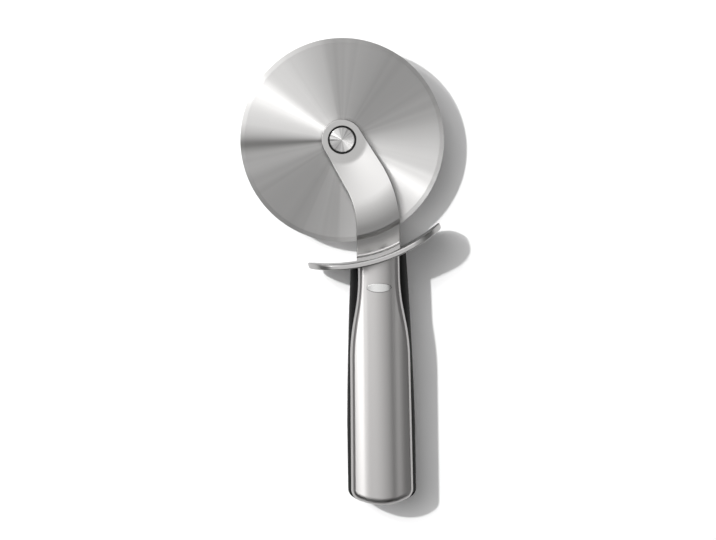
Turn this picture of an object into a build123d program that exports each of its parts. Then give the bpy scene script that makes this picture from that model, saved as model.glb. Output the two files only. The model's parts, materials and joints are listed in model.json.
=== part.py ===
from build123d import *
import os
from math import atan2, cos, degrees, radians, sin, sqrt

os.makedirs("parts", exist_ok=True)

# Pizza cutter wheel, lying on its side. Millimetres and degrees.
# While it is modelled, Y runs up the handle towards the blade, X points to the right,
# and Z is the blade's axis. The handle's axis is X = 0, the guard crosses it at Y = 0,
# and Z = 0 is the plane of the blade, about which most pieces are mirrored.

# Blade
blade_diameter = 101.6
blade_thickness = 1.2
blade_bevel_width = 2.2
blade_edge_thickness = 0.2

# Axle and bearing
axle_radius = 3.0
pin_radius = 1.8
pin_seat = 0.7
head_radius = 6.2
head_thickness = 1.2
head_round = 0.35
bushing_wall = 1.5
bushing_flange_radius = 8.8
bushing_flange_thickness = 1.0
washer_radius = 7.6
washer_thickness = 0.5
collar_wall = 0.75
collar_floor = 0.7
collar_recess = 0.35

# Clearances
running_gap = 0.05
thrust_gap = 0.1
press_gap = 0.02
head_gap = 0.15
bond_gap = 0.1
seat_gap = 0.05
blade_room = 1.4
overrun = 20.0
hair = 0.01

# Arms, two formed straps
strap_thickness = 1.75
strap_width = 21.8
strap_round = 0.4
hub_end_radius = 10.3
arm_lean = 30.0
arm_bend_radius = 48.5
blade_to_guard = 11.5
neck_height = 17.0
neck_gap = 2.4
pad_radius = 12.2
brow_inset = 12.3
brow_rise = 4.0
crest_inset = 2.3
crest_rise = 2.5
jog_inset = 0.7
neck_rise = 2.0
pad_bend = 12.0
brow_bend = 45.0
crest_bend = 2.0
jog_bend = 1.5
foot_bend = 2.2
foot_length = 12.4
spacer_inset = 0.7

# Thumb guard
guard_radius = 83.3
guard_thickness = 2.75
guard_chord = 68.8
guard_depth = 35.0
guard_corner_radius = 16.0
guard_round = 0.6

# Screws through the arms' feet and the guard
foot_screw_radius = 1.5
foot_screw_head_radius = 2.75
foot_screw_head_height = 1.4
foot_screw_head_land = 0.2
foot_screw_length = 11.0
foot_screw_spacing = 7.2
foot_screw_level = 7.6
key_radius = 1.3
key_depth = 0.9

# Handle as a whole
handle_length = 122.0
handle_thickness = 27.0
handle_top_thickness = 22.0
handle_end_radius = 29.0
handle_top = 12.0

# Steel shells
shell_wall = 1.0
shell_round = 3.7
shell_crown_radius = 35.0
shell_rim_level = 4.6
shell_top_width = 21.0
shell_shoulder_width = 29.9
shell_end_width = 31.0
shell_end_inset = 0.2
shell_corner_radius = 5.5
shoulder_start = 6.0
shoulder_stop = 50.0
shoulder_pull = 20.0

# Grips, with the handle's width at four places below the guard
grip_top_width = 26.4
grip_shoulder_width = 30.6
grip_swell_width = 33.1
grip_end_width = 34.0
grip_shoulder_place = 28.0
grip_swell_place = 62.0
grip_height = 16.0
grip_round = 7.5
grip_corner_radius = 4.0
grip_seat = 2.5

# Core, tang and their fasteners
tongue_width = 20.0
tongue_length = 12.0
tang_head_depth = 11.0
tang_width = 9.0
tang_thickness = 5.0
tang_share = 0.615
tang_pin_radius = 1.5
tang_pin_length = 17.0
tang_pin_shares = (0.4, 0.83)
core_screw_radius = 1.5
core_screw_head_radius = 2.8
core_screw_head_height = 2.0
core_screw_seat_level = 5.0
core_screw_length = 13.0
core_screw_shares = (0.72, 0.87)

# Oval plate on the front shell
badge_width = 12.5
badge_height = 4.5
badge_place = 13.75
badge_pocket = 0.45
badge_proud = 0.25
badge_round = 0.2

# Places that follow from the sizes
lean = radians(arm_lean)
toward_hub = Vector(-sin(lean), cos(lean))
across_arm = Vector(cos(lean), sin(lean))
bend_centre = Vector(-arm_bend_radius, neck_height)
bend_stop = bend_centre + across_arm * arm_bend_radius
guard_distance = blade_diameter / 2 + blade_to_guard
straight_rise = bend_stop.dot(toward_hub)
arm_reach = sqrt(guard_distance**2 - bend_stop.length**2 + straight_rise**2) - straight_rise
wheel_centre = bend_stop + toward_hub * arm_reach
wheel_place = Location((wheel_centre.X, wheel_centre.Y, 0))

guard_normal = wheel_centre.normalized()
guard_plane = Plane(origin=(0, 0, 0), x_dir=(guard_normal.Y, -guard_normal.X, 0), z_dir=guard_normal)
guard_place = Location(guard_normal * guard_radius)

flange_level = blade_thickness / 2 + bushing_flange_thickness
pad_level = flange_level + thrust_gap + washer_thickness
seat_level = pad_level + collar_floor
pad_top = pad_level + strap_thickness
bushing_bore = axle_radius + running_gap
bushing_radius = bushing_bore + bushing_wall
collar_bore = head_radius + head_gap
collar_radius = collar_bore + collar_wall
crown_top = handle_thickness / 2
crown_lean = degrees(atan2(crown_top - handle_top_thickness / 2, handle_length))
jog_radius = blade_diameter / 2 - jog_inset
foot_radius = guard_distance - (guard_thickness + strap_thickness) / 2 - seat_gap
neck_slope = neck_rise / (foot_radius - jog_radius)
tang_length = handle_length * tang_share


def spin(*points):
    """Solid of revolution about Z from a closed outline of (radius, height) points."""
    return revolve(make_face(Plane.XZ * Polyline(*points, close=True)), Axis.Z)


def rear(part):
    """Mirror image of a front piece, on the other side of the blade's plane."""
    return mirror(part, about=Plane.XY)


def prism(face, low, high):
    """Flat outline raised from one level to another along Z."""
    return extrude(Plane.XY.offset(low) * face, high - low)


def guard_drum(offset_from_middle):
    """Round bar whose surface is the guard's middle surface, moved away from the blade."""
    return guard_place * Cylinder(guard_radius + offset_from_middle, guard_depth + 2 * overrun)


def blade():
    radius = blade_diameter / 2
    half = blade_thickness / 2
    half_edge = blade_edge_thickness / 2
    bore = bushing_radius + press_gap
    flat = radius - blade_bevel_width
    disc = spin(
        (bore, -half),
        (flat, -half),
        (radius, -half_edge),
        (radius, half_edge),
        (flat, half),
        (bore, half),
    )
    return wheel_place * disc


def front_bushing():
    half = blade_thickness / 2
    bushing = spin(
        (bushing_bore, 0),
        (bushing_radius, 0),
        (bushing_radius, half),
        (bushing_flange_radius, half),
        (bushing_flange_radius, flange_level),
        (bushing_bore, flange_level),
    )
    return wheel_place * bushing


def front_washer():
    ring = Circle(washer_radius) - Circle(bushing_bore)
    return wheel_place * prism(ring, pad_level - washer_thickness, pad_level)


def front_collar():
    rim = pad_top - collar_recess
    collar = spin(
        (bushing_bore, pad_level),
        (collar_radius, pad_level),
        (collar_radius, rim),
        (collar_bore, rim),
        (collar_bore, seat_level),
        (bushing_bore, seat_level),
    )
    return wheel_place * collar


def rounded_head(part, direction):
    """Rounds the outer edge of an axle head, the furthest circle along Z."""
    edge = part.edges().filter_by(GeomType.CIRCLE).sort_by(Axis.Z)[direction]
    return fillet(edge, head_round)


def axle_barrel():
    outer = seat_level + head_thickness
    bore = pin_radius + press_gap
    bottom = pin_seat - seat_level
    barrel = spin(
        (0, -outer),
        (head_radius, -outer),
        (head_radius, -seat_level),
        (axle_radius, -seat_level),
        (axle_radius, seat_level),
        (bore, seat_level),
        (bore, bottom),
        (0, bottom),
    )
    return wheel_place * rounded_head(barrel, 0)


def axle_pin():
    outer = seat_level + head_thickness
    tip = pin_seat + press_gap - seat_level
    pin = spin(
        (0, tip),
        (pin_radius, tip),
        (pin_radius, seat_level),
        (head_radius, seat_level),
        (head_radius, outer),
        (0, outer),
    )
    return wheel_place * rounded_head(pin, -1)


def arm_outline(inset):
    """Plan of the arm: round hub end, straight reach, bend, and a neck that runs past the guard."""
    half = strap_width / 2 - inset
    outer, inner = arm_bend_radius + half, arm_bend_radius - half
    hub_side = across_arm * (hub_end_radius - inset)
    hub_tip = wheel_centre + toward_hub * (hub_end_radius - inset)
    right_hub, left_hub = wheel_centre + hub_side, wheel_centre - hub_side
    edges = [
        Line((half, -overrun), (half, neck_height)),
        CenterArc(bend_centre, outer, 0, arm_lean),
        Line(bend_centre + across_arm * outer, right_hub),
        ThreePointArc(right_hub, hub_tip, left_hub),
        Line(left_hub, bend_centre + across_arm * inner),
        CenterArc(bend_centre, inner, 0, arm_lean),
        Line((-half, neck_height), (-half, -overrun)),
        Line((-half, -overrun), (half, -overrun)),
    ]
    return make_face(edges)


def strap_section():
    """Side view of the strap against the distance from the axle, up to its foot along the guard."""
    pad_middle = pad_level + strap_thickness / 2
    foot_middle = (neck_gap + strap_thickness) / 2
    blade_radius = blade_diameter / 2
    middle_line = FilletPolyline(
        (axle_radius, pad_middle),
        (pad_radius, pad_middle),
        (blade_radius - brow_inset, pad_middle + brow_rise),
        (blade_radius - crest_inset, pad_middle + crest_rise),
        (jog_radius, foot_middle + neck_rise),
        (foot_radius, foot_middle),
        (foot_radius, foot_length),
        radius=[pad_bend, brow_bend, crest_bend, jog_bend, foot_bend],
    )
    return Plane.XZ * trace(middle_line, line_width=strap_thickness)


def rounded_sides(arm):
    """Rounds the strap's long edges, which run round its outline on both faces."""
    outline = arm_outline(0).wire()
    edges = ShapeList()
    for face in arm.faces():
        middle = face.position_at(0.5, 0.5)
        if outline.distance_to(Vector(middle.X, middle.Y, 0)) < hair:
            upright = face.edges().filter_by(Axis.Z)
            seams = [edge for edge in upright if edge.length < 2 * strap_thickness]
            edges += [edge for edge in face.edges() if edge not in seams]
    return fillet(edges, strap_round)


def foot_screw_form(extra, above):
    """One countersunk screw on the guard's plane, or its hole with a clearance and room above."""
    top = guard_thickness / 2 + strap_thickness
    head, shank = foot_screw_head_radius + extra, foot_screw_radius + extra
    land = top - foot_screw_head_land
    cone = land - foot_screw_head_height
    tip = top - foot_screw_length - extra
    return spin((0, top + above), (head, top + above), (head, land), (shank, cone), (shank, tip), (0, tip))


def on_foot(form):
    """Four copies of a form, at the screws' places on the guard."""
    return [
        guard_plane.location * Location((side * foot_screw_spacing / 2, level * foot_screw_level, 0)) * form
        for side in (-1, 1)
        for level in (-1, 1)
    ]


def with_screw_holes(part):
    """Cuts the foot screws' clearance holes through a piece."""
    for hole in on_foot(foot_screw_form(bond_gap, strap_thickness)):
        part -= hole
    return part


def foot_screws():
    top = guard_thickness / 2 + strap_thickness
    key = extrude(Plane.XY.offset(top - key_depth) * RegularPolygon(key_radius, 6), key_depth + overrun)
    return Part() + on_foot(foot_screw_form(0, 0) - key)


def front_arm():
    strap = wheel_place * revolve(strap_section(), Axis.Z)
    arm = strap & prism(arm_outline(0), 0, foot_length)
    arm = rounded_sides(arm) - wheel_place * Cylinder(collar_radius + press_gap, 2 * overrun)
    return with_screw_holes(arm)


def neck_spacer():
    """Wedge that fills the neck between the straps, from the blade's edge to the guard."""
    start, stop = blade_diameter / 2 + blade_room, guard_distance
    level = neck_gap / 2 - seat_gap
    start_half = level + neck_slope * (foot_radius - start)
    stop_half = level + neck_slope * (foot_radius - stop)
    ring = spin((start, -start_half), (stop, -stop_half), (stop, stop_half), (start, start_half))
    block = prism(arm_outline(spacer_inset), -foot_length, foot_length) & wheel_place * ring
    return block & guard_drum(-guard_thickness / 2 - seat_gap)


def guard():
    plate = guard_drum(guard_thickness / 2) - guard_drum(-guard_thickness / 2)
    outline = RectangleRounded(guard_chord, guard_depth, guard_corner_radius)
    plate &= extrude(guard_plane * outline, overrun, both=True)
    faces = plate.faces().sort_by(SortBy.AREA)[-2:]
    return with_screw_holes(fillet(faces[0].edges() + faces[1].edges(), guard_round))


def below_guard(part):
    """Trims the top of a handle piece to the guard's lower surface."""
    return part - guard_drum(guard_thickness / 2 + seat_gap)


def end_drop(half_width):
    """How far the handle's round end has come up at a distance from the axis."""
    return handle_end_radius - sqrt(handle_end_radius**2 - half_width**2)


def closed_outline(right_side, end, corner_radius):
    """Handle outline from its right side's edges, its lowest point and the radius of the end's corners."""
    foot, top = right_side[-1] @ 1, right_side[0] @ 0
    left_side = [mirror(edge, about=Plane.YZ) for edge in right_side]
    ends = [ThreePointArc(foot, end, (-foot.X, foot.Y)), Line(top, (-top.X, top.Y))]
    outline = make_face(right_side + left_side + ends)
    if corner_radius > 0:
        outline = fillet(outline.vertices().sort_by(Axis.Y)[:2], corner_radius)
    return outline


def shell_outline(inset):
    """Plan of a steel shell: narrow under the guard, then wider with a smooth shoulder."""
    end = Vector(0, shell_end_inset + inset - handle_length)
    half = shell_end_width / 2 - inset
    start = Vector(shell_top_width / 2 - inset, -shoulder_start)
    stop = Vector(shell_shoulder_width / 2 - inset, -shoulder_stop)
    foot = Vector(half, end.Y + end_drop(half))
    down = Vector(0, -shoulder_pull)
    along = (foot - stop).normalized() * shoulder_pull
    right_side = [
        Line((start.X, handle_top), start),
        Bezier(start, start + down, stop - along, stop),
        Line(stop, foot),
    ]
    return closed_outline(right_side, end, shell_corner_radius - inset)


def end_outline():
    """Plan of the handle's round end, at full width all the way up."""
    half = grip_end_width / 2
    foot = Vector(half, end_drop(half) - handle_length)
    return closed_outline([Line((half, handle_top), foot)], (0, -handle_length), grip_corner_radius)


def crown(inset):
    """Long round bar whose top is the shells' crown, moved inwards by inset; it rises to the handle's end."""
    bar = Cylinder(shell_crown_radius - inset, 2 * (handle_length + overrun), rotation=(90, 0, 0))
    return Location((0, 0, handle_top_thickness / 2 - shell_crown_radius), (-crown_lean, 0, 0)) * bar


def pan(inset):
    """Space inside the front shell's outer surface, moved inwards by inset."""
    walls = prism(shell_outline(inset), shell_rim_level, crown_top + overrun)
    body = walls & crown(inset)
    top = body.faces().filter_by(GeomType.CYLINDER).sort_by(SortBy.AREA)[-1]
    return fillet(top.edges().sort_by(Axis.Y)[:-1], shell_round - inset)


def badge_form(extra):
    """Oval column at the badge's place, over the front shell."""
    oval = Ellipse(badge_width / 2 + extra, badge_height / 2 + extra)
    return Location((0, -badge_place, 0)) * prism(oval, shell_rim_level, crown_top + overrun)


def rear_shell():
    return below_guard(rear(pan(0) - pan(shell_wall)))


def front_shell():
    return below_guard(pan(0) - pan(shell_wall)) - (badge_form(bond_gap) - crown(badge_pocket))


def badge():
    plate = (badge_form(0) & crown(-badge_proud)) - crown(badge_pocket - bond_gap)
    return fillet(plate.faces().sort_by(Axis.Z)[-1].edges(), badge_round)


def side_band():
    """Full-width body of the grips, rounded along both sides, before its ends are cut."""
    right = Spline(
        (grip_top_width / 2, handle_top),
        (grip_shoulder_width / 2, -grip_shoulder_place),
        (grip_swell_width / 2, -grip_swell_place),
        (grip_end_width / 2, -handle_length - overrun),
    )
    left = mirror(right, about=Plane.YZ)
    outline = make_face([right, left, Line(right @ 0, left @ 0), Line(right @ 1, left @ 1)])
    body = prism(outline, -grip_height / 2, grip_height / 2)
    return fillet(body.edges().filter_by(GeomType.BSPLINE), grip_round)


def core_plan():
    """Plan of the core between the grips, with a tongue that reaches the handle's end."""
    tongue = Location((0, tongue_length / 2 - handle_length)) * Rectangle(tongue_width, tongue_length)
    return (shell_outline(grip_seat) + tongue) & end_outline()


def grips():
    """Left and right grips, which fill the sides between the shells around the core."""
    band = below_guard(side_band() & prism(end_outline(), -grip_height, grip_height))
    band -= prism(core_plan(), -grip_height, grip_height)
    over = prism(shell_outline(-bond_gap), shell_rim_level, grip_height)
    return (band - over - rear(over)).solids().sort_by(Axis.X)


def half_core():
    """Front half of the core's outer form, up into the shell and down to the blade's plane."""
    middle = prism(core_plan(), 0, shell_rim_level)
    return below_guard(pan(shell_wall + bond_gap) + middle)


def head_zone():
    """Block round the top of the handle, down to the underside of the tang's head."""
    return Location((0, overrun - tang_head_depth, 0)) * Box(2 * overrun, 2 * overrun, 2 * overrun)


def tang_bar(extra):
    """Bar of the tang below its head, or its slot when extra is a clearance."""
    length = tang_length - tang_head_depth + extra
    bar = Box(tang_width + 2 * extra, length, tang_thickness + 2 * extra)
    return Location((0, -tang_head_depth - length / 2, 0)) * bar


def tang_pin_forms(extra):
    radius, length = tang_pin_radius + extra, tang_pin_length + 2 * extra
    return [Location((0, -share * tang_length, 0)) * Cylinder(radius, length) for share in tang_pin_shares]


def tang():
    form = half_core() & head_zone()
    body = form + rear(form) + tang_bar(0)
    for hole in tang_pin_forms(press_gap):
        body -= hole
    return with_screw_holes(body)


def core_screw_forms(extra, above):
    """Pan-head screws that enter from the front, or their holes with a clearance and room above."""
    seat = core_screw_seat_level
    top = seat + core_screw_head_height
    tip = top - core_screw_length - extra
    head, shank = core_screw_head_radius + extra, core_screw_radius + extra
    screw = spin((0, tip), (shank, tip), (shank, seat), (head, seat), (head, top + above), (0, top + above))
    return [Location((0, -share * handle_length, 0)) * screw for share in core_screw_shares]


def core_half(form):
    """One moulded half of the core: open where the tang, its pins and the screws go."""
    body = form - head_zone() - tang_bar(bond_gap)
    for hole in tang_pin_forms(press_gap) + core_screw_forms(press_gap, overrun):
        body -= hole
    return body


left_grip, right_grip = grips()

PARTS = {
    "blade": blade(),
    "front_bushing": front_bushing(),
    "rear_bushing": rear(front_bushing()),
    "front_washer": front_washer(),
    "rear_washer": rear(front_washer()),
    "front_collar": front_collar(),
    "rear_collar": rear(front_collar()),
    "axle_barrel": axle_barrel(),
    "axle_pin": axle_pin(),
    "front_arm": front_arm(),
    "rear_arm": rear(front_arm()),
    "neck_spacer": neck_spacer(),
    "guard": guard(),
    "foot_screws": foot_screws(),
    "tang": tang(),
    "tang_pins": Part() + tang_pin_forms(0),
    "front_core": core_half(half_core()),
    "rear_core": core_half(rear(half_core())),
    "core_screws": Part() + core_screw_forms(0, 0),
    "front_shell": front_shell(),
    "rear_shell": rear_shell(),
    "left_grip": left_grip,
    "right_grip": right_grip,
    "badge": badge(),
}

# The whole cutter moves so that the middle of its bounding box's underside is the origin
boxes = [part.bounding_box() for part in PARTS.values()]
left, right = min(box.min.X for box in boxes), max(box.max.X for box in boxes)
foot, top = min(box.min.Y for box in boxes), max(box.max.Y for box in boxes)
rest_level = min(box.min.Z for box in boxes)
final_place = Location((-(left + right) / 2, -(foot + top) / 2, -rest_level))

for name, part in PARTS.items():
    export_step(final_place * part, f"parts/{name}.step")

print("blade axle", (final_place * wheel_place).position)
print("guard on the handle's axis", final_place.position)
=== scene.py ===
# %% [markdown]
# # Pizza cutter wheel
# A pizza cutter lies on its side on a white table, seen straight from above. It has a round steel blade,
# a formed steel arm with the axle at its end, a curved thumb guard, and a steel handle with black grips.
# The measured solids are already here as a frame, in metres. This lesson gives them their surfaces,
# adds the small forms that only a mesh can carry, and lights them the way a product table is lit.

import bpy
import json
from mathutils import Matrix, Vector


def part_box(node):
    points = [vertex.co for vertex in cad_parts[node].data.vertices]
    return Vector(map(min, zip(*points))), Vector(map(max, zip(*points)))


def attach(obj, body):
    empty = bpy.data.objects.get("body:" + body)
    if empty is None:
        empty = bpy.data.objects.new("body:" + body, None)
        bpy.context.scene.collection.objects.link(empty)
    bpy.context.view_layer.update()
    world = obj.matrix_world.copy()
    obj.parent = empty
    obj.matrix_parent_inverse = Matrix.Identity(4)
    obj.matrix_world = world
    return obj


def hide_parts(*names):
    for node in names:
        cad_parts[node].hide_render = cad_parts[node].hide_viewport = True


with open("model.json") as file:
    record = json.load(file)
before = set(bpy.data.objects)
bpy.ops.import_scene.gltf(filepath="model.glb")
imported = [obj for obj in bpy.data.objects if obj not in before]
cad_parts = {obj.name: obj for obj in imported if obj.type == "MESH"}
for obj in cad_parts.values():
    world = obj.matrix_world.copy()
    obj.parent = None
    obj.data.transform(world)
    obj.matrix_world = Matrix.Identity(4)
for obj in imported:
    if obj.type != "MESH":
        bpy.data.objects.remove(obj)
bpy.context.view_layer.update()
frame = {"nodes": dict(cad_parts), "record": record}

# %% Tools and units
import json
from math import cos, pi, radians, sin

import bmesh
import bpy
from mathutils import Matrix, Vector

MM = 0.001


def mm(*values):
    """A point or a size given in millimetres, as the metres that the frame is in."""
    return Vector(values) * MM


# %% [markdown]
# The middle of the blade is needed again and again: its scratches circle round it, and the screws face it.
# It comes from the box of the solid, so it always agrees with the frame.

# %% Middle of the blade
blade_low, blade_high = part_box("blade")
AXLE = (blade_low + blade_high) / 2
print("axle in mm", [round(1000 * value, 2) for value in AXLE])

# %% [markdown]
# ## The table
# A cutter on its side rests on two things: the rear edge of its thumb guard and the far end of its handle.
# The solids are modelled level, so here the table leans by two degrees to touch them both. The camera then
# looks square onto that table, just as the photographer's did.

# %% Table plane
GUARD_REST = mm(0, 4, 0)
HANDLE_REST = mm(0, -112, 4)
table_run = (GUARD_REST - HANDLE_REST).normalized()
TABLE_UP = Vector((1, 0, 0)).cross(table_run)
print("table leans by", round(TABLE_UP.angle(Vector((0, 0, 1))) * 180 / pi, 2), "degrees")


# %% [markdown]
# ## A small helper for nodes
# Every material is a little tree of nodes. One function adds a node, sets its properties and fills its
# inputs: a plain value is written into the socket and a socket of another node is linked to it.

# %% Node helper
def add(tree, kind, inputs=None, **settings):
    """Adds a node with its settings; inputs holds values or sockets of other nodes."""
    item = tree.nodes.new(kind)
    for name, value in settings.items():
        setattr(item, name, value)
    for key, value in (inputs or {}).items():
        if isinstance(value, bpy.types.NodeSocket):
            tree.links.new(value, item.inputs[key])
        else:
            item.inputs[key].default_value = value
    return item


def colour(code):
    """An sRGB hex colour as the linear RGBA that shaders use."""
    parts = [int(code[place:place + 2], 16) / 255 for place in (1, 3, 5)]
    linear = [part / 12.92 if part <= 0.04045 else ((part + 0.055) / 1.055) ** 2.4 for part in parts]
    return (*linear, 1)


def new_material(name):
    """An empty material with its output node, and the tree to build it in."""
    material = bpy.data.materials.new(name)
    material.use_nodes = True
    material.node_tree.nodes.clear()
    return material, material.node_tree


def roughness_about(tree, noise, middle, unevenness):
    """Roughness that follows a noise a little below and above a middle value."""
    return add(tree, "ShaderNodeMapRange", {
        "Value": noise.outputs["Fac"], "From Min": 0.3, "From Max": 0.7,
        "To Min": middle - unevenness, "To Max": middle + unevenness,
    }).outputs["Result"]


def bump_from(tree, noise, depth_mm):
    """Normal of a surface that a noise lifts by up to a depth in millimetres."""
    return add(tree, "ShaderNodeBump", {
        "Height": noise.outputs["Fac"], "Distance": depth_mm * MM, "Strength": 1.0,
    }).outputs["Normal"]


def dress(material, *names):
    """Puts a material on solids of the frame."""
    for name in names:
        for slot in frame["nodes"][name].material_slots:
            slot.material = material
    print(material.name, "on", ", ".join(names))


# %% [markdown]
# ## Ground stainless steel, brushed in circles
# The blade is cut from stainless sheet and ground while it turns, so its scratches are circles round the
# axle. Such a surface mirrors a lamp as two bright fans that meet at the middle. The fans need an
# anisotropic shader whose tangent lies across the scratches, because light spreads along the tangent: on
# this disc that is simply the direction away from the axle. The scratches are about 0.3 mm apart, coarser
# than the real ones, which the picture could not show.
#
# Grinding is never even, so noise that depends only on the direction from the axle makes a few duller
# streaks from the middle to the rim. One narrow wedge, straight to the left of the axle, is painted darker:
# this is a painted reflection, the dark gap between the two fans, made by a high power of the cosine between
# two directions.

# %% Circular brushing
# Painted reflection: the angle, width and colour of the dark gap between the fans, painted into one wedge.
PAINTED_DARK_REFLECTION_ANGLE = radians(181.6)
PAINTED_DARK_REFLECTION_SHARPNESS = 300.0
PAINTED_DARK_REFLECTION_COLOUR = "#8c8b8a"
STREAK_TONES = 0.28, 0.56
UNEVEN_BRUSHING = 0.04


def radius_and_tangent(tree, centre):
    """Distance from an upright axis through a point, and the level direction away from it."""
    place = add(tree, "ShaderNodeTexCoord").outputs["Object"]
    from_axis = add(tree, "ShaderNodeVectorMath", {0: place, 1: centre}, operation="SUBTRACT")
    flat = add(tree, "ShaderNodeVectorMath", {0: from_axis.outputs[0], 1: (1, 1, 0)}, operation="MULTIPLY")
    radius = add(tree, "ShaderNodeVectorMath", {0: flat.outputs[0]}, operation="LENGTH")
    tangent = add(tree, "ShaderNodeVectorMath", {0: flat.outputs[0]}, operation="NORMALIZE")
    return radius.outputs["Value"], tangent.outputs[0]


def circular_steel(name, dull, bright, roughness, anisotropy, scratch_mm, depth, streak_seed):
    """Steel whose fine scratches are circles round the blade's axle, with a painted dark reflection in one
    narrow wedge.
    """
    material, tree = new_material(name)
    radius, tangent = radius_and_tangent(tree, AXLE)
    rings = add(tree, "ShaderNodeTexNoise", {"W": radius, "Scale": 1 / (scratch_mm * MM), "Detail": 4.0},
                noise_dimensions="1D")
    normal = bump_from(tree, rings, depth)
    spread = roughness_about(tree, rings, roughness, UNEVEN_BRUSHING)
    streaks = add(tree, "ShaderNodeTexNoise", {
        "Vector": tangent, "W": streak_seed, "Scale": 4.0, "Detail": 2.0,
    }, noise_dimensions="4D")
    tone = add(tree, "ShaderNodeMapRange", {
        "Value": streaks.outputs["Fac"], "From Min": STREAK_TONES[0], "From Max": STREAK_TONES[1],
    })
    metal = add(tree, "ShaderNodeMix", {
        0: tone.outputs["Result"], "A": colour(dull), "B": colour(bright),
    }, data_type="RGBA")
    # Painted reflection: a narrow wedge left of the axle is darkened to stand for the dark gap between the
    # mirrored fans.
    toward = (cos(PAINTED_DARK_REFLECTION_ANGLE), sin(PAINTED_DARK_REFLECTION_ANGLE), 0)
    along = add(tree, "ShaderNodeVectorMath", {0: tangent, 1: toward}, operation="DOT_PRODUCT")
    ahead = add(tree, "ShaderNodeMath", {0: along.outputs["Value"], 1: 0.0}, operation="MAXIMUM")
    painted_reflection_mask = add(tree, "ShaderNodeMath", {0: ahead.outputs[0], 1: PAINTED_DARK_REFLECTION_SHARPNESS}, operation="POWER")
    with_painted_reflection = add(tree, "ShaderNodeMix", {
        0: painted_reflection_mask.outputs[0], "A": metal.outputs[2], "B": colour(PAINTED_DARK_REFLECTION_COLOUR),
    }, data_type="RGBA")
    steel = add(tree, "ShaderNodeBsdfPrincipled", {
        "Base Color": with_painted_reflection.outputs[2], "Metallic": 1.0, "Roughness": spread,
        "Anisotropic": anisotropy, "Tangent": tangent, "Normal": normal,
    })
    add(tree, "ShaderNodeOutputMaterial", {"Surface": steel.outputs["BSDF"]})
    return material


blade_steel = circular_steel("ground stainless steel", "#c4c3c2", "#dddcdb", 0.40, 1.0, 0.3, 0.0012, 9.37)
spun_steel = circular_steel("spun stainless steel", "#aeadac", "#e4e3e2", 0.32, 1.0, 0.2, 0.003, 5.0)
dress(blade_steel, "blade")
dress(spun_steel, "axle_pin", "axle_barrel")

# %% [markdown]
# ## Satin and polished steel
# The arms and the guard are blasted to a fine satin, with no direction to it. The shells are pressed from
# sheet and polished across the handle: their scratches run along X, so the tangent is Y, and a lamp is
# drawn out into one long bright stripe down the handle.

# %% Polished and satin steel
def straight_steel(name, base, roughness, anisotropy, grain_mm, depth, unevenness=0.015):
    """Steel with a straight grain, given as its length along X and along Y; highlights spread along Y."""
    material, tree = new_material(name)
    place = add(tree, "ShaderNodeTexCoord").outputs["Object"]
    along_x, along_y = 1 / (grain_mm[0] * MM), 1 / (grain_mm[1] * MM)
    stretched = add(tree, "ShaderNodeMapping", {"Vector": place, "Scale": (along_x, along_y, along_x)})
    grain = add(tree, "ShaderNodeTexNoise", {"Vector": stretched.outputs[0], "Scale": 1.0, "Detail": 3.0})
    normal = bump_from(tree, grain, depth)
    spread = roughness_about(tree, grain, roughness, unevenness)
    tangent = add(tree, "ShaderNodeCombineXYZ", {"X": 0.0, "Y": 1.0, "Z": 0.0})
    steel = add(tree, "ShaderNodeBsdfPrincipled", {
        "Base Color": colour(base), "Metallic": 1.0, "Roughness": spread,
        "Anisotropic": anisotropy, "Tangent": tangent.outputs[0], "Normal": normal,
    })
    add(tree, "ShaderNodeOutputMaterial", {"Surface": steel.outputs["BSDF"]})
    return material


shell_steel = straight_steel("polished stainless steel", "#c9c7c6", 0.28, 0.9, (6.0, 0.08), 0.00002, 0.004)
arm_steel = straight_steel("satin stainless steel", "#c0bfbe", 0.34, 0.0, (0.2, 0.2), 0.0001)
guard_steel = straight_steel("satin cast steel", "#c6c5c4", 0.30, 0.0, (0.35, 0.5), 0.003)
plain_steel = straight_steel("zinc plated steel", "#bdbdbb", 0.35, 0.0, (0.4, 0.4), 0.003)
dress(shell_steel, "front_shell", "rear_shell")
dress(arm_steel, "front_arm", "rear_arm")
dress(guard_steel, "guard")
dress(plain_steel, "foot_screws", "core_screws", "tang_pins", "tang")

# %% [markdown]
# ## Polished oval plate
# The oval plate on the shell is bare, polished and slightly domed, so it reads as a brighter patch.

# %% Polished plate
plate_steel = straight_steel("polished chromed brass", "#e2e2e1", 0.14, 0.0, (0.5, 0.5), 0.001)
dress(plate_steel, "badge")


# %% [markdown]
# ## Black rubber and nylon
# The grips are soft rubber with a fine moulded grain of about 0.4 mm, which breaks up their highlights.
# The washers, collars and bushings are smooth black acetal, and the handle's core is moulded nylon.

# %% Moulded blacks
UNEVEN_MOULDING = 0.06


def moulded_black(name, base, roughness, grain_mm, depth):
    """Moulded black material with a fine even grain."""
    material, tree = new_material(name)
    place = add(tree, "ShaderNodeTexCoord").outputs["Object"]
    grain = add(tree, "ShaderNodeTexNoise", {"Vector": place, "Scale": 1 / (grain_mm * MM), "Detail": 2.0})
    normal = bump_from(tree, grain, depth)
    spread = roughness_about(tree, grain, roughness, UNEVEN_MOULDING)
    black = add(tree, "ShaderNodeBsdfPrincipled", {
        "Base Color": colour(base), "Roughness": spread, "IOR": 1.5, "Specular IOR Level": 0.25,
        "Normal": normal,
    })
    add(tree, "ShaderNodeOutputMaterial", {"Surface": black.outputs["BSDF"]})
    return material


grip_rubber = moulded_black("moulded grip rubber", "#060606", 0.55, 0.4, 0.02)
core_nylon = moulded_black("moulded black nylon", "#171717", 0.45, 0.5, 0.01)
hub_acetal = moulded_black("turned black acetal", "#0f0f0f", 0.35, 0.6, 0.004)
dress(grip_rubber, "left_grip", "right_grip")
dress(core_nylon, "front_core", "rear_core", "neck_spacer")
dress(hub_acetal, "front_bushing", "rear_bushing", "front_washer", "rear_washer", "front_collar", "rear_collar")

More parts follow.
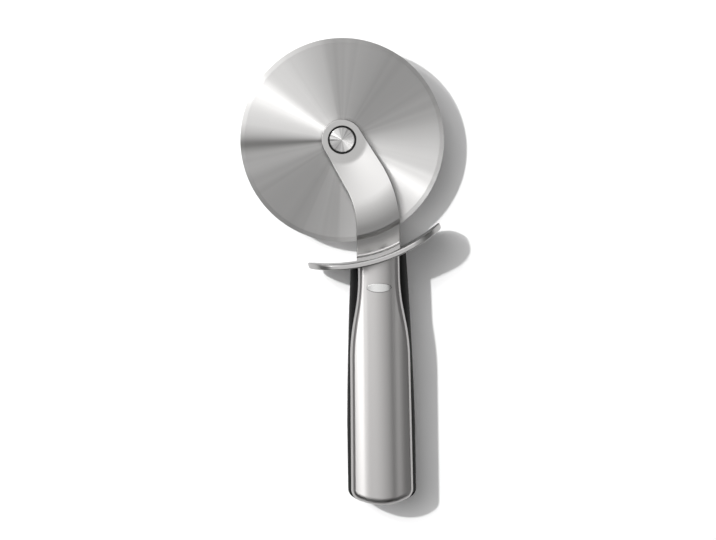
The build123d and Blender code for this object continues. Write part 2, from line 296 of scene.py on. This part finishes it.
# %% [markdown]
# ## Four countersunk screws
# Four small screws hold the arms' feet to the guard. The photograph doesn't show them, but anyone who tips
# the cutter forward does. One screw is turned in mesh code from rings of 24 points: a six-sided key socket,
# a thin land, the cone and the shank. Geometry Nodes then set it on a grid of two by two points, whose
# spacings are inputs, and the realized result becomes one plain mesh.

# %% One screw
RING = 24
HEAD, SHANK, KEY = 2.75, 1.5, 1.3
KEY_TIP, SHANK_END = 1.25, 11.0
SCREW_PROFILE = [  # radius, depth below the head's face, six-sided or round
    (KEY, 0.95, True),
    (KEY, 0.08, True),
    (KEY + 0.12, 0.0, False),
    (HEAD - 0.12, 0.0, False),
    (HEAD, 0.1, False),
    (HEAD, 0.2, False),
    (SHANK, 1.4, False),
    (SHANK, SHANK_END - 0.4, False),
    (SHANK - 0.4, SHANK_END, False),
]


def ring_of(mesh, radius, depth, six_sided):
    """A ring of points round Z, on a circle or on a hexagon with that corner radius, in millimetres."""
    points = []
    for step in range(RING):
        turn = 2 * pi * step / RING
        reach = radius
        if six_sided:
            reach = radius * cos(pi / 6) / cos((turn + pi / 6) % (pi / 3) - pi / 6)
        points.append(mesh.verts.new(mm(reach * cos(turn), reach * sin(turn), -depth)))
    return points


def turned_screw():
    """A countersunk screw whose head lies in the plane Z = 0."""
    mesh = bmesh.new()
    rings = [ring_of(mesh, *ring) for ring in SCREW_PROFILE]
    for upper, lower in zip(rings, rings[1:]):
        for step in range(RING):
            after = (step + 1) % RING
            mesh.faces.new((upper[step], lower[step], lower[after], upper[after]))
    for ends, depth in ((rings[0], KEY_TIP), (rings[-1], SHANK_END)):
        middle = mesh.verts.new(mm(0, 0, -depth))
        for step in range(RING):
            mesh.faces.new((middle, ends[step], ends[(step + 1) % RING]))
    bmesh.ops.recalc_face_normals(mesh, faces=mesh.faces)
    data = bpy.data.meshes.new("screw")
    mesh.to_mesh(data)
    mesh.free()
    return data


print("one screw has", len(turned_screw().polygons), "faces")

# %% [markdown]
# The node tree takes the screw as its geometry, a spacing across, a spacing between the two feet, and the
# material. It ends in Realize Instances and Set Material, so that the screws are real faces.

# %% Grid of screws
def grid_tree():
    """Geometry Nodes that repeat a mesh on a grid of two by two points."""
    tree = bpy.data.node_groups.new("screw grid", "GeometryNodeTree")
    for name, kind in (("Geometry", "NodeSocketGeometry"), ("Across", "NodeSocketFloat"),
                       ("Between Feet", "NodeSocketFloat"), ("Steel", "NodeSocketMaterial")):
        tree.interface.new_socket(name, in_out="INPUT", socket_type=kind)
    tree.interface.new_socket("Geometry", in_out="OUTPUT", socket_type="NodeSocketGeometry")
    given = add(tree, "NodeGroupInput").outputs
    grid = add(tree, "GeometryNodeMeshGrid", {"Size X": given["Across"], "Size Y": given["Between Feet"],
                                              "Vertices X": 2, "Vertices Y": 2})
    placed = add(tree, "GeometryNodeInstanceOnPoints", {"Points": grid.outputs["Mesh"],
                                                        "Instance": given["Geometry"]})
    real = add(tree, "GeometryNodeRealizeInstances", {"Geometry": placed.outputs[0]})
    steeled = add(tree, "GeometryNodeSetMaterial", {"Geometry": real.outputs[0], "Material": given["Steel"]})
    add(tree, "NodeGroupOutput", {"Geometry": steeled.outputs[0]})
    return tree


def baked(name, data, tree, values, place):
    """Runs a node tree on a mesh and keeps the result as a plain mesh at its place."""
    maker = bpy.data.objects.new(name + "_maker", data)
    bpy.context.scene.collection.objects.link(maker)
    modifier = maker.modifiers.new("nodes", "NODES")
    modifier.node_group = tree
    for item in tree.interface.items_tree:
        if item.in_out == "INPUT" and item.name in values:
            modifier[item.identifier] = values[item.name]
    ready = maker.evaluated_get(bpy.context.evaluated_depsgraph_get())
    result = bpy.data.meshes.new_from_object(ready)
    result.transform(place)
    maker.modifiers.clear()
    bpy.data.objects.remove(maker)
    piece = bpy.data.objects.new(name, result)
    bpy.context.scene.collection.objects.link(piece)
    return piece


GUARD_POINT = Vector(frame["record"]["mounts"][0]["pos_m"])
GUARD_POINT.z = AXLE.z
GUARD_NORMAL = (AXLE - GUARD_POINT).normalized()
STRAP_FACE = 3.125
SCREWS_ACROSS, SCREWS_BETWEEN_FEET = 7.2, 15.2
screw_place = Matrix.Translation(GUARD_POINT + GUARD_NORMAL * STRAP_FACE * MM) @ Matrix(
    (Vector((0, 0, -1)).cross(GUARD_NORMAL), (0, 0, -1), GUARD_NORMAL)).transposed().to_4x4()
screws = baked("foot_screw_set", turned_screw(), grid_tree(),
               {"Across": SCREWS_ACROSS * MM, "Between Feet": SCREWS_BETWEEN_FEET * MM, "Steel": plain_steel},
               screw_place)
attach(screws, "handle")
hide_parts("foot_screws")
print("screws", len(screws.data.polygons), "faces")

# %% [markdown]
# ## Camera
# The picture is a plan view: two pixels to the millimetre at the blade. The camera stands one metre above
# the table, square to it, and turned by 0.9 degrees, because the handle doesn't stand quite upright in the
# picture.

# %% Camera
PICTURE = Vector((716, 540))
PIXELS_PER_MM = 2.0
VIEW_CENTRE = mm(6.88, 0.55, 17.5)
CAMERA_HEIGHT = 1000 * MM
PICTURE_TURN = radians(0.9)
picture_right = Vector((cos(PICTURE_TURN), -sin(PICTURE_TURN), 0))
picture_up = TABLE_UP.cross(picture_right).normalized()
picture_right = picture_up.cross(TABLE_UP)

camera = bpy.data.objects.new("camera", bpy.data.cameras.new("camera"))
camera.matrix_world = Matrix.Translation(VIEW_CENTRE + TABLE_UP * CAMERA_HEIGHT) @ Matrix(
    (picture_right, picture_up, TABLE_UP)).transposed().to_4x4()
view_width = PICTURE.x / PIXELS_PER_MM * MM
camera.data.sensor_width = 36
camera.data.lens = camera.data.sensor_width * CAMERA_HEIGHT / view_width
camera.data.clip_start, camera.data.clip_end = 0.05, 10
bpy.context.scene.collection.objects.link(camera)
bpy.context.scene.camera = camera
print("lens", round(camera.data.lens, 1), "mm")

# %% [markdown]
# ## Table and backdrop
# The table is a large white sheet that takes the cutter's shadow like any matt surface. A little glow that
# only the camera sees lifts it to full white. The steel mirrors a slightly greyer sheet, as it would where
# the real sheet ends a short way outside the picture.

# %% White table
TABLE_SIZE = 6.0
table_mesh = bpy.data.meshes.new("table")
corners = [(-1, -1), (1, -1), (1, 1), (-1, 1)]
table_points = [GUARD_REST + TABLE_SIZE / 2 * (Vector((1, 0, 0)) * x + table_run * y) for x, y in corners]
table_mesh.from_pydata(table_points, [], [(0, 1, 2, 3)])
table = bpy.data.objects.new("table", table_mesh)
bpy.context.scene.collection.objects.link(table)

table_white, tree = new_material("matt white table")
path = add(tree, "ShaderNodeLightPath")
mirrored = add(tree, "ShaderNodeMix", {0: path.outputs["Is Glossy Ray"], "A": colour("#f6f6f6"),
                                       "B": colour("#d4d4d4")}, data_type="RGBA")
matt = add(tree, "ShaderNodeBsdfDiffuse", {"Color": mirrored.outputs[2]})
glow = add(tree, "ShaderNodeEmission", {"Color": colour("#ffffff"), "Strength": 0.04})
none = add(tree, "ShaderNodeEmission", {"Strength": 0.0})
lift = add(tree, "ShaderNodeMixShader", {0: path.outputs["Is Camera Ray"], 1: none.outputs[0],
                                        2: glow.outputs[0]})
both = add(tree, "ShaderNodeAddShader", {0: matt.outputs[0], 1: lift.outputs[0]})
add(tree, "ShaderNodeOutputMaterial", {"Surface": both.outputs[0]})
table.data.materials.append(table_white)

# %% [markdown]
# ## Light
# Metal shows little but what it mirrors, so the light comes in two parts. A small lamp high on the upper left
# makes the crisp shadow, but metal doesn't see it. A weaker lamp beside it is the one that metal mirrors: it
# makes the fans on the blade and the bright stripe on the handle.

# %% Lamps
LAMP_SIZE = 55 * MM


def add_lamp(name, place, energy, seen_in_metal):
    """One round lamp that faces the cutter; metal mirrors it only when asked."""
    lamp = bpy.data.objects.new(name, bpy.data.lights.new(name, "AREA"))
    lamp.data.shape = "DISK"
    lamp.data.size = LAMP_SIZE
    lamp.data.energy = energy
    facing = (place - VIEW_CENTRE).to_track_quat("Z", "Y").to_matrix().to_4x4()
    lamp.matrix_world = Matrix.Translation(place) @ facing
    lamp.visible_glossy = seen_in_metal
    bpy.context.scene.collection.objects.link(lamp)


add_lamp("shadow lamp", VIEW_CENTRE + mm(-725, 400, 1200), 15.5, False)
add_lamp("sparkle lamp", VIEW_CENTRE + mm(-735, 560, 1200), 2.5, True)

# %% [markdown]
# The room is a sum of soft lobes, each with a direction, a sharpness and a level. The ceiling and the walls
# shade the handle from left to right, the windows widen the blade's fans, and dark cards, whose level is
# below zero, keep the steel from going flat. Three narrow lobes draw lines down the polished shell: a window
# frame that ends the bright stripe, and a dark post with a bright strip beside it near the right edge.

# %% Room
ROOM_BASE = 0.06
ROOM_LIGHTS = {  # azimuth and polar angle in degrees, sharpness, level
    "ceiling": (150, 8, 4, 0.81),
    "window": (136, 36, 36, 1.9),
    "second window": (168, 41, 70, 3.0),
    "low window": (193, 34, 90, 0.8),
    "window wall": (122, 32, 12, 0.95),
    "left wall": (165, 65, 3, 0.3),
    "right wall": (-10, 65, 6, 0.25),
    "dark doorway": (-10, 88, 40, -0.3),
    "dark card beside the blade": (212, 45, 10, -0.6),
    "dark card across": (45, 50, 8, -0.2),
    "dark card below": (270, 60, 5, -0.25),
    "dark card below the arm": (290, 34, 30, -0.3),
    "window frame": (175, 20, 120, -0.5),
    "dark post": (0, 21, 320, -0.9),
    "bright strip beside the post": (0, 29, 220, 1.1),
}
world = bpy.data.worlds.new("room")
bpy.context.scene.world = world
world.use_nodes = True
tree = world.node_tree
tree.nodes.clear()
direction = add(tree, "ShaderNodeTexCoord").outputs["Generated"]
level = ROOM_BASE
for azimuth, polar, sharpness, strength in ROOM_LIGHTS.values():
    turned = Matrix.Rotation(radians(azimuth), 3, "Z") @ Matrix.Rotation(radians(polar), 3, "Y")
    toward = turned @ Vector((0, 0, 1))
    side = add(tree, "ShaderNodeVectorMath", {0: direction, 1: toward}, operation="DOT_PRODUCT")
    facing = add(tree, "ShaderNodeMath", {0: side.outputs["Value"], 1: 0.0}, operation="MAXIMUM")
    lobe = add(tree, "ShaderNodeMath", {0: facing.outputs[0], 1: float(sharpness)}, operation="POWER")
    level = add(tree, "ShaderNodeMath", {0: lobe.outputs[0], 1: strength, 2: level},
                operation="MULTIPLY_ADD").outputs[0]
positive = add(tree, "ShaderNodeMath", {0: level, 1: 0.0}, operation="MAXIMUM")
sky = add(tree, "ShaderNodeBackground", {"Color": colour("#ffffff"), "Strength": positive.outputs[0]})
add(tree, "ShaderNodeOutputWorld", {"Surface": sky.outputs[0]})

bpy.context.scene.view_settings.view_transform = "Standard"
